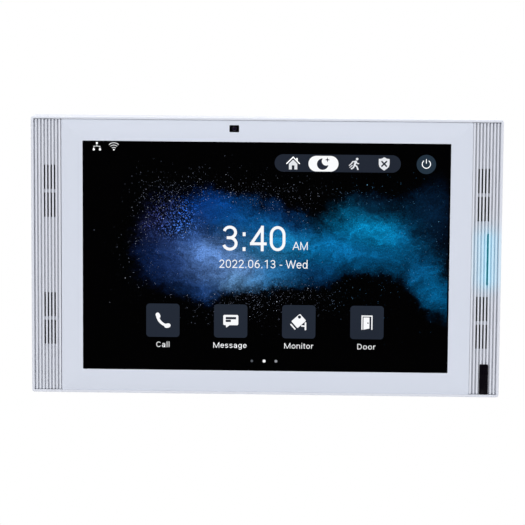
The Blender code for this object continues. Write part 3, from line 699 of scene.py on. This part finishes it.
# A plain sans face: each glyph's advance and the middle lines of its strokes, with capitals 1 high.
GLYPHS = {
    " ": (0.42, []),
    ".": (0.37, [dot(0.185, 0.075)]),
    ":": (0.34, [dot(0.17, 0.075), dot(0.17, 0.66)]),
    "-": (0.33, [[(-0.01, 0.39), (0.32, 0.39)]]),
    "0": (0.80, oval(0.405, 0.5, 0.26, 0.295, 0.14)),
    "1": (0.79, [[(0.47, 0.0), (0.47, 1.0)], [(0.50, 0.925), (0.18, 0.80)]]),
    "2": (0.79, [bow(0.385, 0.69, 0.245, 0.245, 175, -28) + [(0.15, 0.055)], [(0.09, 0.065), (0.71, 0.065)]]),
    "3": (0.79, [bow(0.375, 0.725, 0.235, 0.21, 165, -80) + [(0.25, 0.515)],
                 [(0.25, 0.515)] + bow(0.38, 0.29, 0.255, 0.225, 80, -165)]),
    "4": (0.79, [[(0.565, 0.93), (0.125, 0.29)], [(0.07, 0.29), (0.75, 0.29)], [(0.57, 0.0), (0.57, 1.0)]]),
    "6": (0.79, [bow(0.64, 0.34, 0.49, 0.595, 97, 180), *oval(0.405, 0.325, 0.25, 0.26)]),
    "A": (0.92, [[(0.04, 0.0), (0.46, 1.0)], [(0.46, 1.0), (0.88, 0.0)], [(0.18, 0.32), (0.74, 0.32)]]),
    "C": (0.92, [bow(0.475, 0.5, 0.345, 0.435, 38, 322, 24)]),
    "D": (0.92, [[(0.18, 0.0), (0.18, 1.0)],
                 [(0.18, 0.935), (0.40, 0.935)] + bow(0.42, 0.5, 0.345, 0.435, 90, -90) + [(0.18, 0.065)]]),
    "I": (0.40, [[(0.20, 0.0), (0.20, 1.0)]]),
    "V": (0.92, [[(0.04, 1.0), (0.46, 0.03)], [(0.46, 0.03), (0.88, 1.0)]]),
    "M": (1.23, [[(0.17, 0.0), (0.17, 1.0)], [(0.17, 0.96), (0.615, 0.03), (1.06, 0.96)],
                 [(1.06, 0.0), (1.06, 1.0)]]),
    "W": (1.25, [[(0.05, 1.0), (0.34, 0.03)], [(0.34, 0.03), (0.625, 0.95)], [(0.625, 0.95), (0.91, 0.03)],
                 [(0.91, 0.03), (1.20, 1.0)]]),
    "a": (0.77, [bow(0.37, 0.49, 0.225, 0.195, 165, 0) + [(0.595, 0.0)], *oval(0.355, 0.225, 0.215, 0.165),
                 [(0.35, 0.39), (0.60, 0.39)]]),
    "d": (0.79, [*oval(0.365, 0.37, 0.235, 0.31), [(0.625, 0.0), (0.625, 1.04)]]),
    "e": (0.745, [bow(0.385, 0.37, 0.255, 0.31, -8, 318, 24), [(0.13, 0.38), (0.64, 0.38)]]),
    "g": (0.79, [*oval(0.365, 0.37, 0.235, 0.31), [(0.625, 0.74)] + bow(0.38, -0.03, 0.245, 0.20, 0, -145)]),
    "i": (0.34, [[(0.17, 0.0), (0.17, 0.74)], dot(0.17, 0.96, 0.065)]),
    "l": (0.34, [[(0.17, 0.0), (0.17, 1.04)]]),
    "n": (0.78, [[(0.15, 0.0), (0.15, 0.74)], bow(0.385, 0.46, 0.235, 0.225, 170, 0) + [(0.62, 0.0)]]),
    "o": (0.80, oval(0.40, 0.37, 0.27, 0.31)),
    "r": (0.48, [[(0.15, 0.0), (0.15, 0.74)], bow(0.40, 0.45, 0.245, 0.23, 170, 75)]),
    "s": (0.73, [bow(0.36, 0.535, 0.21, 0.145, 20, 250) + bow(0.365, 0.215, 0.215, 0.155, 70, -160)]),
    "t": (0.47, [[(0.215, 0.94), (0.215, 0.20)] + bow(0.345, 0.19, 0.13, 0.13, 180, 285),
                 [(0.03, 0.685), (0.42, 0.685)]]),
}


def lettering(text, x, z, weight):
    """Outlines of a line of text from left to right end in x, and from baseline to capitals' height in z.

    The strokes' weight is a share of that height.
    """
    ends, pen, lines = [], 0.0, []
    for character in text:
        advance, strokes = GLYPHS[character]
        for line in strokes:
            lines.append([(pen + px, pz) for px, pz in line])
            ends += [px for px, _ in lines[-1]]
        pen += advance
    tall = z[1] - z[0]
    width = weight * tall
    wide = (x[1] - x[0] - width) / (max(ends) - min(ends))
    left = x[0] + width / 2 - min(ends) * wide
    placed = [[(left + px * wide, z[0] + pz * tall) for px, pz in line] for line in lines]
    return [stroke(line, width, caps=False) for line in placed]


# ---- cover glass and display
def rim_loops(bm, low, high, corner, edge, tightening=1.0):
    """Loops of a rounded plate: its back, then over its rounded front rim to its front face."""
    steps = 4
    loops = [upright_loop(bm, rounded(low.x, high.x, low.z, high.z, corner), high.y)]
    for step in range(steps + 1):
        a = math.pi / 2 * step / steps
        inset, y = edge * (1 - math.cos(a)), low.y + edge * (1 - math.sin(a))
        radius = corner - inset * tightening
        outline = rounded(low.x + inset, high.x - inset, low.z + inset, high.z - inset, radius)
        loops.append(upright_loop(bm, outline, y))
    return loops


def make_cover_glass():
    """One slab with a rounded rim. Its front face is split into the printed border and the display window."""
    # The joint round it is finer than round the CAD's glass, all but on the left.
    low = GLASS_LOW - Vector((0.0, 0.0, 0.319))
    high = GLASS_HIGH + Vector((0.22, 0.0, 0.165))
    bm = bmesh.new()
    loops = rim_loops(bm, low, high, corner=0.9, edge=0.12)
    window = rounded(-WINDOW_X, WINDOW_X, WINDOW_FOOT, WINDOW_TOP, 0.5)
    display = skin(bm, [*loops, upright_loop(bm, window, low.y)])
    display.material_index = 1
    glass = new_piece("cover_glass_front", bm, ["border", "picture"])
    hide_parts("cover_glass")


def make_camera_window():
    """The black window in the border, and in low relief on it the lens that shows through it."""
    x, z = -19.1, 76.68
    window = rounded(x - 2.95, x + 2.8, z - 2.1, z + 2.1, 0.45)
    drawing("camera_window", "window", GLASS_FACE - 0.01, [[window]])
    # The lens and its barrel: radius, and how far each step stands out.
    profile = ((1.25, 0.0), (1.18, 0.05), (0.95, 0.06), (0.9, 0.02), (0.6, 0.05), (0.25, 0.075))
    foot = GLASS_FACE - 0.025
    bm = bmesh.new()
    skin(bm, [upright_loop(bm, circle(x, z, radius), foot - rise) for radius, rise in profile])
    new_piece("camera_lens_face", bm, ["lens"])


# Depths of the start page's layers, in front of the glass face.
TILE_Y = GLASS_FACE - 0.015
ICON_Y = TILE_Y - 0.025
TOP_Y = ICON_Y - 0.025

# App tiles: label, centre, and the label's ends.
TILES = (("Call", -61.4, (-65.3, -57.5)), ("Message", -20.7, (-31.0, -11.1)),
         ("Monitor", 20.1, (11.6, 29.1)), ("Door", 60.9, (55.4, 66.4)))
TILE_Z = -38.8


def network_icon(x, z):
    """Three linked nodes."""
    left, right, bend, line = x - 1.85, x + 1.85, z + 0.1, 0.26
    return [
        circle(x, z + 2.0, 0.62, 20), circle(left, z - 1.8, 0.68, 20), circle(right, z - 1.8, 0.68, 20),
        stroke([(x, z + 1.8), (x, bend)], line, caps=False),
        stroke([(left, z - 1.9), (left, bend), (right, bend), (right, z - 1.9)], line, caps=False),
    ]


def wireless_icon(x, z):
    """Three arcs over a dot."""
    foot = z - 1.95
    arcs = [stroke(circle(x, foot, radius, 16, 47, 133), 0.27) for radius in (1.45, 2.8, 4.15)]
    return [circle(x, foot, 0.45, 18), *arcs]


def mirrored(x, half):
    """A closed outline from its right half, which runs down from the axis at x or round to it."""
    return half + [(2 * x - px, pz) for px, pz in reversed(half) if px != x]


def home_icon(x, z):
    """A gabled roof with a chimney over walls with a doorway."""
    roof = stroke([(x - 3.8, z - 0.25), (x, z + 3.6), (x + 3.8, z - 0.25)], 0.66)
    chimney = [(x + 1.85, z + 1.2), (x + 2.7, z + 0.4), (x + 2.7, z + 3.1), (x + 1.85, z + 3.1)]
    walls = mirrored(x, [(x, z + 2.15), (x + 2.5, z - 0.35), (x + 2.5, z - 3.75), (x + 0.75, z - 3.75),
                         (x + 0.75, z - 1.3)])
    return [roof, chimney], [walls]


def moon_icon(x, z):
    """A crescent between two circles, with a small four-pointed star."""
    star = []
    for i in range(8):
        reach, a = (0.5 if i % 2 else 1.45), i * math.pi / 4
        star.append((x + 2.45 + reach * math.cos(a), z + 2.3 + reach * math.sin(a)))
    crescent = [circle(x - 0.35, z - 0.3, 3.4, 48)], [circle(x + 1.7, z + 1.45, 2.6, 40)]
    return crescent, [star]


def runner_icon(x, z):
    """A running figure, with two speed lines: the width and the course of each stroke."""
    limbs = (
        (1.35, [(0.9, 1.4), (0.1, -0.9)]),
        (0.7, [(1.0, 1.4), (1.8, 0.1), (2.8, 0.0)]),
        (0.75, [(0.7, 1.5), (-1.2, 1.2), (-2.1, -0.1)]),
        (0.95, [(0.1, -1.0), (1.5, -1.8), (2.3, -3.8)]),
        (0.95, [(0.0, -1.0), (-0.6, -2.6), (-1.9, -3.4)]),
        (0.6, [(-3.4, -1.2), (-2.3, -0.3)]),
        (0.6, [(-3.0, -2.5), (-1.5, -1.2)]),
    )
    size = 0.9
    head = circle(x + 1.75 * size, z + 3.0 * size, 0.85 * size, 20)
    return [head, *[stroke(moved(line, x, z, size), width * size) for width, line in limbs]]


def shield_icon(x, z):
    """A shield with a cross cut out of it."""
    outline = mirrored(x, [(x, z + 3.95), (x + 1.6, z + 3.1), (x + 3.2, z + 2.9), (x + 3.2, z - 0.4),
                           (x + 2.8, z - 1.7), (x + 1.8, z - 2.8), (x, z - 4.0)])
    arm = 1.35
    cross = [stroke([(x - arm, z - rise), (x + arm, z + rise)], 0.9) for rise in (arm, -arm)]
    return [outline], cross


def power_icon(x, z):
    return [stroke(circle(x, z, 2.45, 40, 130, 410), 0.45), stroke([(x, z + 2.75), (x, z + 0.5)], 0.45)]


def handset_icon(x, z):
    """A telephone handset: a bent grip with an ear piece and a mouth piece."""
    grip = stroke(circle(4.2, 4.3, 7.75, 14, 196, 252), 1.6)
    ear = stroke([(-3.15, 3.4), (-2.7, 2.4)], 2.5)
    mouth = stroke([(2.1, -3.35), (3.3, -3.1)], 2.6)
    return [moved(part, x, z) for part in (grip, ear, mouth)]


def bubble_icon(x, z):
    """A speech bubble with two lines of writing cut out of it."""
    body = rounded(x - 4.45, x + 4.55, z - 2.5, z + 3.7, 0.8)
    tail = [(x - 3.0, z - 2.4), (x - 2.65, z - 4.0), (x - 0.5, z - 2.4)]
    lines = [rounded(x - 3.0, x + 3.25, z + 1.05, z + 2.45, 0.2),
             rounded(x - 3.0, x + 0.1, z - 0.6, z + 0.75, 0.2)]
    return [body, tail], lines


def camera_icon(x, z):
    """A tilted camera with its sun shield and wall arm."""
    tilt = 41.8
    body = moved(turned(rounded(-3.45, 3.45, -2.78, 2.78, 0.6), tilt), x - 0.05, z + 0.52)
    shield = moved(turned(rounded(-0.42, 0.42, -2.2, 2.2, 0.3), tilt), x - 3.45, z - 3.0)
    link = stroke([(x + 1.4, z - 2.4), (x + 4.0, z - 2.6)], 0.85, caps=False)
    post = rounded(x + 3.55, x + 4.5, z - 5.0, z - 0.3, 0.25)
    return [body, shield, link, post], [circle(x + 0.4, z + 2.9, 0.95, 20)]


def door_icon(x, z):
    """A door standing in its frame."""
    posts = mirrored(x, [(x + 3.3, z + 4.3), (x + 3.3, z - 4.3), (x + 2.6, z - 4.3), (x + 2.6, z + 3.6)])
    leaf = [(x - 2.1, z - 4.3), (x + 1.5, z - 3.6), (x + 1.5, z + 3.1), (x - 2.1, z + 3.1)]
    return [posts, leaf], [circle(x + 0.6, z - 0.3, 0.42, 14)]


def make_start_page():
    """The start page: status icons, modes, clock, date, app tiles and page dots."""
    drawing("mode_bar", "ink_bar", TILE_Y, [[rounded(4.9, 79.8, 51.4, 61.8, 5.19, 14)]])
    drawing("power_disc", "ink_disc", TILE_Y, [[circle(94.9, 56.5, 5.75, 56)]])
    foot, top = TILE_Z - 10.1, TILE_Z + 10.1
    tiles = [[rounded(x - 10.0, x + 10.0, foot, top, 2.0)] for _, x, _ in TILES]
    drawing("app_tiles", "ink_tile", TILE_Y, tiles)
    drawing("status_icons", "ink_text", ICON_Y, [network_icon(-100.9, 65.4), wireless_icon(-90.8, 65.45)])
    drawing("chosen_mode", "ink_white", ICON_Y, [[rounded(25.0, 42.8, 51.7, 61.0, 4.64, 12)]])
    drawing("night_icon", "ink_dark", TOP_Y, moon_icon(33.8, 56.4))
    roof, walls = home_icon(15.9, 56.5)
    drawing("mode_icons", "ink_grey", ICON_Y, [walls, runner_icon(52.3, 56.6), shield_icon(69.9, 56.6)])
    drawing("bright_icons", "ink_text", ICON_Y, [roof, power_icon(94.9, 56.7)])
    icons = (handset_icon, bubble_icon, camera_icon, door_icon)
    drawing("app_icons", "ink_white", ICON_Y, [icon(x, TILE_Z) for icon, (_, x, _) in zip(icons, TILES)])
    labels = [lettering(label, ends, (-55.1, -51.75), 0.09) for label, _, ends in TILES]
    drawing("tile_labels", "ink_text", ICON_Y, labels)
    clock = [lettering("3:40", (-25.9, 11.7), (3.6, 18.9), 0.112),
             lettering("AM", (16.0, 25.0), (4.6, 9.4), 0.10),
             lettering("2022.06.13 - Wed", (-27.9, 25.0), (-6.7, -1.6), 0.10)]
    drawing("clock_and_date", "ink_white", ICON_Y, clock)
    page_dots = (("left", -7.9, 0.75, "ink_dim"), ("here", -0.5, 0.92, "ink_white"),
                 ("right", 6.6, 0.85, "ink_dot"))
    for place, x, radius, look in page_dots:
        drawing(f"page_dot_{place}", look, ICON_Y, [[circle(x, -62.9, radius, 24)]])


# ---- badge and light bar
def make_badge():
    """A plain black plate with softly rounded rims."""
    # It fills its recess better than the CAD's plate does, on the left and down to the frame's rim.
    low = BADGE_LOW - Vector((0.22, 0.0, 0.33))
    high = BADGE_HIGH + Vector((0.0, 0.0, 0.1))
    bm = bmesh.new()
    skin(bm, rim_loops(bm, low, high, corner=0.75, edge=0.35, tightening=0.6))
    badge = new_piece("badge_plate", bm, ["badge"])
    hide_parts("badge")


def make_light_bar():
    """The light guide's bar: clear plastic with a domed front and round ends, a little proud of the ribs."""
    half, crown = 0.57, 0.53                     # half its width, and how far it stands before the CAD's face
    middle = GUIDE_HIGH.z - 1.1 - half           # where its round ends begin; the guide's flange goes further
    x = GUIDE_X - 0.16
    front = GUIDE_LOW.y
    bm = bmesh.new()
    loops = []
    for share, y in ((1.0, GUIDE_HIGH.y), (1.0, front - crown * 0.85), (0.93, front - crown * 0.96),
                     (0.5, front - crown)):
        upper = circle(x, middle, half * share, 9, 0, 180)
        lower = circle(x, -middle, half * share, 9, 180, 360)
        loops.append(upright_loop(bm, upper + lower, y))
    skin(bm, loops)
    bar = new_piece("light_bar", bm, ["guide"])
    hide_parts("light_guide")


def make_grille_seals():
    """The thin white beads that close the joint between each grille and the rim."""
    for side, sign in (("left", -1), ("right", 1)):
        low, high = node_box(f"grille_{side}")
        edge = sign * max(abs(low.x), abs(high.x))
        x0, x1 = sorted((edge + sign * 0.02, edge + sign * 0.55))
        bm = bmesh.new()
        plate(bm, [rounded(x0, x1, low.z + 0.1, high.z - 0.1, 0.12)], GLASS_FACE + 1.2, thickness=0.6)
        new_piece(f"grille_seal_{side}", bm, ["seal"])


# ---- back and connectors
def from_behind(outline):
    """An outline drawn as it reads from behind the monitor."""
    return [(-x, z) for x, z in outline]


def make_rating_label():
    """A paper label on the rear cover, beside the bracket, with plain generic wording and ruled fields."""
    _, cover_high = node_box("rear_cover")
    paper_y, print_y = cover_high.y + 0.01, cover_high.y + 0.035
    left, right, top, foot = 77.0, 110.0, 12.0, -12.0
    paper = from_behind(rounded(left, right, foot, top, 1.5))
    drawing("rating_label", "paper", paper_y, [[paper]])
    words = [lettering("Indoor Monitor", (left + 3, right - 5), (6.2, 8.8), 0.12),
             lettering("DC 12 V - 1 A", (left + 3, left + 21), (1.4, 3.4), 0.12)]
    rules = [stroke([(left + 3, z), (right - 3, z)], 0.2, caps=False) for z in (4.8, 0.0, -4.6, -9.2)]
    dividers = [stroke([(left + 14, 0.0), (left + 14, -9.2)], 0.2, caps=False)]
    symbol = [stroke(circle(left + 25.5, 2.4, 1.0, 24, 40, 320), 0.25), circle(left + 25.5, 2.4, 0.4, 16)]
    lines = [*words[0], *words[1], *rules, *dividers, *symbol]
    drawing("rating_print", "print", print_y, [[from_behind(line) for line in lines]])


def make_clamp_screws(label):
    """Slotted clamp screws in the holes of a terminal plug, seen from behind."""
    low, high = node_box(f"{label}_plug")
    pitch = 3.5
    ways = int((high.x - low.x) // pitch)
    first = (low.x + high.x) / 2 - (ways - 1) * pitch / 2
    bm = bmesh.new()
    for i in range(ways):
        x, z = first + i * pitch, low.z + 3.6
        slot = moved(turned(rounded(-0.95, 0.95, -0.17, 0.17, 0.1), 25 + 40 * i), x, z)
        head = circle(x, z, 1.1, 20)
        plate(bm, [head], high.y - 1.2, [slot], thickness=0.35)
        plate(bm, [head], high.y - 1.42, thickness=0.2)
    new_piece(f"{label}_clamp_screws", bm, ["screw"], body=f"{label}_plug")


def make_jack_contacts():
    """Eight sprung contacts, slanting up into the mouth of the network socket."""
    low, high = node_box("ethernet_jack")
    middle = (low.x + high.x) / 2
    side = stroke([(low.y + 1.8, low.z + 2.2), (low.y + 2.6, low.z + 2.0), (low.y + 4.6, high.z - 7.5)], 0.3)
    bm = bmesh.new()
    for i in range(8):
        x = middle + (i - 3.5) * 1.02
        skin(bm, [[bm.verts.new((px * MM, y * MM, z * MM)) for y, z in side] for px in (x - 0.23, x + 0.23)])
    new_piece("jack_contacts", bm, ["gold"])


# ---- carried-over CAD nodes
# Each look, and how the names of the nodes that have it begin. All others are black.
CAD_LOOKS = {
    "frame": ("front_frame",),
    "white": ("rear_cover", "reset_button"),
    "grille": ("grille_left",),
    "lit": ("grille_right",),
    "panel": ("display_panel",),
    "aluminium": ("backlight_tray", "processor_shield", "mic_capsule"),
    "zinc": ("support_plate", "ethernet_jack", "wall_bracket", "speaker_magnet"),
    "board": ("main_board", "led_board"),
    "flex": ("display_ribbon", "camera_ribbon", "wifi_antenna"),
    "mesh": ("dust_mesh", "speaker_cone"),
    "foam": ("glass_adhesive", "speaker_gasket"),
    "lens": ("camera_lens",),
    "rubber": ("mic_boot",),
    "green": ("signal_header", "signal_plug", "power_header", "power_plug"),
    "screw": ("plate_screw", "board_screw", "case_screw"),
}
# Bevel widths in millimetres.
SOFT_EDGES = {"front_frame": 0.12, "rear_cover": 0.25, "grille_left": 0.14, "grille_right": 0.14,
              "wall_bracket": 0.15, "signal_plug": 0.15, "power_plug": 0.15, "ethernet_jack": 0.12}


def dress_cad_nodes():
    for name, obj in NODES.items():
        look = next((look for look, starts in CAD_LOOKS.items() if name.startswith(starts)), "black")
        for slot in obj.material_slots:
            slot.material = LOOKS[look].material
        if name in SOFT_EDGES:
            weld = obj.modifiers.new("weld", "WELD")
            weld.merge_threshold = 1e-6
            bevel = obj.modifiers.new("soft_edge", "BEVEL")
            bevel.width = SOFT_EDGES[name] * MM
            bevel.segments = 2
            bevel.limit_method = "ANGLE"
            bevel.angle_limit = math.radians(40)


# ---- studio
def area_light(name, place, target, size, power, colour=(1.0, 1.0, 1.0)):
    data = bpy.data.lights.new(name, "AREA")
    data.shape = "RECTANGLE"
    data.size, data.size_y = size
    data.energy = power
    data.color = colour
    obj = bpy.data.objects.new(name, data)
    obj.location = place
    obj.rotation_euler = (Vector(target) - Vector(place)).to_track_quat("-Z", "Y").to_euler()
    bpy.context.scene.collection.objects.link(obj)


def make_world():
    """A white studio, darker straight in front of the glass so that the display stays black."""
    fill, black = 0.62, 0.01
    world = bpy.data.worlds.new("studio")
    world.use_nodes = True
    bpy.context.scene.world = world
    tree = world.node_tree
    background = tree.nodes["Background"]
    direction = tree.nodes.new("ShaderNodeTexCoord").outputs["Generated"]
    split = tree.nodes.new("ShaderNodeSeparateXYZ")
    tree.links.new(direction, split.inputs[0])
    dim = tree.nodes.new("ShaderNodeMapRange")
    dim.interpolation_type = "SMOOTHSTEP"
    for socket, value in zip(dim.inputs, (0.0, -0.93, -0.5, black, fill)):
        socket.default_value = value
    tree.links.new(split.outputs["Y"], dim.inputs[0])
    path = tree.nodes.new("ShaderNodeLightPath")
    choose = tree.nodes.new("ShaderNodeMix")
    tree.links.new(path.outputs["Is Camera Ray"], choose.inputs[0])
    tree.links.new(dim.outputs[0], choose.inputs[2])
    choose.inputs[3].default_value = 1.0
    background.inputs["Color"].default_value = (1.0, 1.0, 1.0, 1.0)
    tree.links.new(choose.outputs[0], background.inputs["Strength"])


def make_studio():
    make_world()
    area_light("key", (-0.9, -1.5, 1.35), (0, 0, 0), (1.1, 1.1), 26.0, (1.0, 0.99, 0.97))
    area_light("fill", (1.5, -1.3, 0.35), (0, 0, 0), (0.9, 1.2), 12.0, (0.95, 0.97, 1.0))
    area_light("overhead", (0.0, -0.24, 1.5), (0, 0, 0), (1.4, 1.0), 12.0)
    area_light("rear", (0.5, 1.6, 0.7), (0, 0, 0), (1.2, 0.9), 4.0)
    bm = bmesh.new()
    bmesh.ops.create_circle(bm, cap_ends=True, segments=96, radius=0.95)
    bmesh.ops.translate(bm, verts=bm.verts, vec=(0.0, 0.0, -0.45))
    mesh = bpy.data.meshes.new("floor")
    bm.to_mesh(mesh)
    bm.free()
    paper = Surface("floor_paper", (0.86, 0.86, 0.86), 0.9)
    paper.set("Base Color", paper.mix(paper.noise(3.0, 2.0), (0.85, 0.85, 0.85), (0.88, 0.88, 0.88)))
    mesh.materials.append(paper.material)
    floor = bpy.data.objects.new("floor", mesh)
    bpy.context.scene.collection.objects.link(floor)
    bpy.context.scene.view_settings.view_transform = "Standard"


def make_camera():
    data = bpy.data.cameras.new("camera")
    data.lens = 170.0
    data.sensor_width = 36.0
    camera = bpy.data.objects.new("camera", data)
    camera.location = (0.0411, -1.4916, 0.1926)
    camera.rotation_euler = [math.radians(a) for a in (82.4, -0.402, 1.732)]
    bpy.context.scene.collection.objects.link(camera)
    bpy.context.scene.camera = camera


make_cover_glass()
make_camera_window()
make_start_page()
make_badge()
make_light_bar()
make_grille_seals()
make_rating_label()
make_clamp_screws("signal")
make_clamp_screws("power")
make_jack_contacts()
dress_cad_nodes()
make_studio()
make_camera()
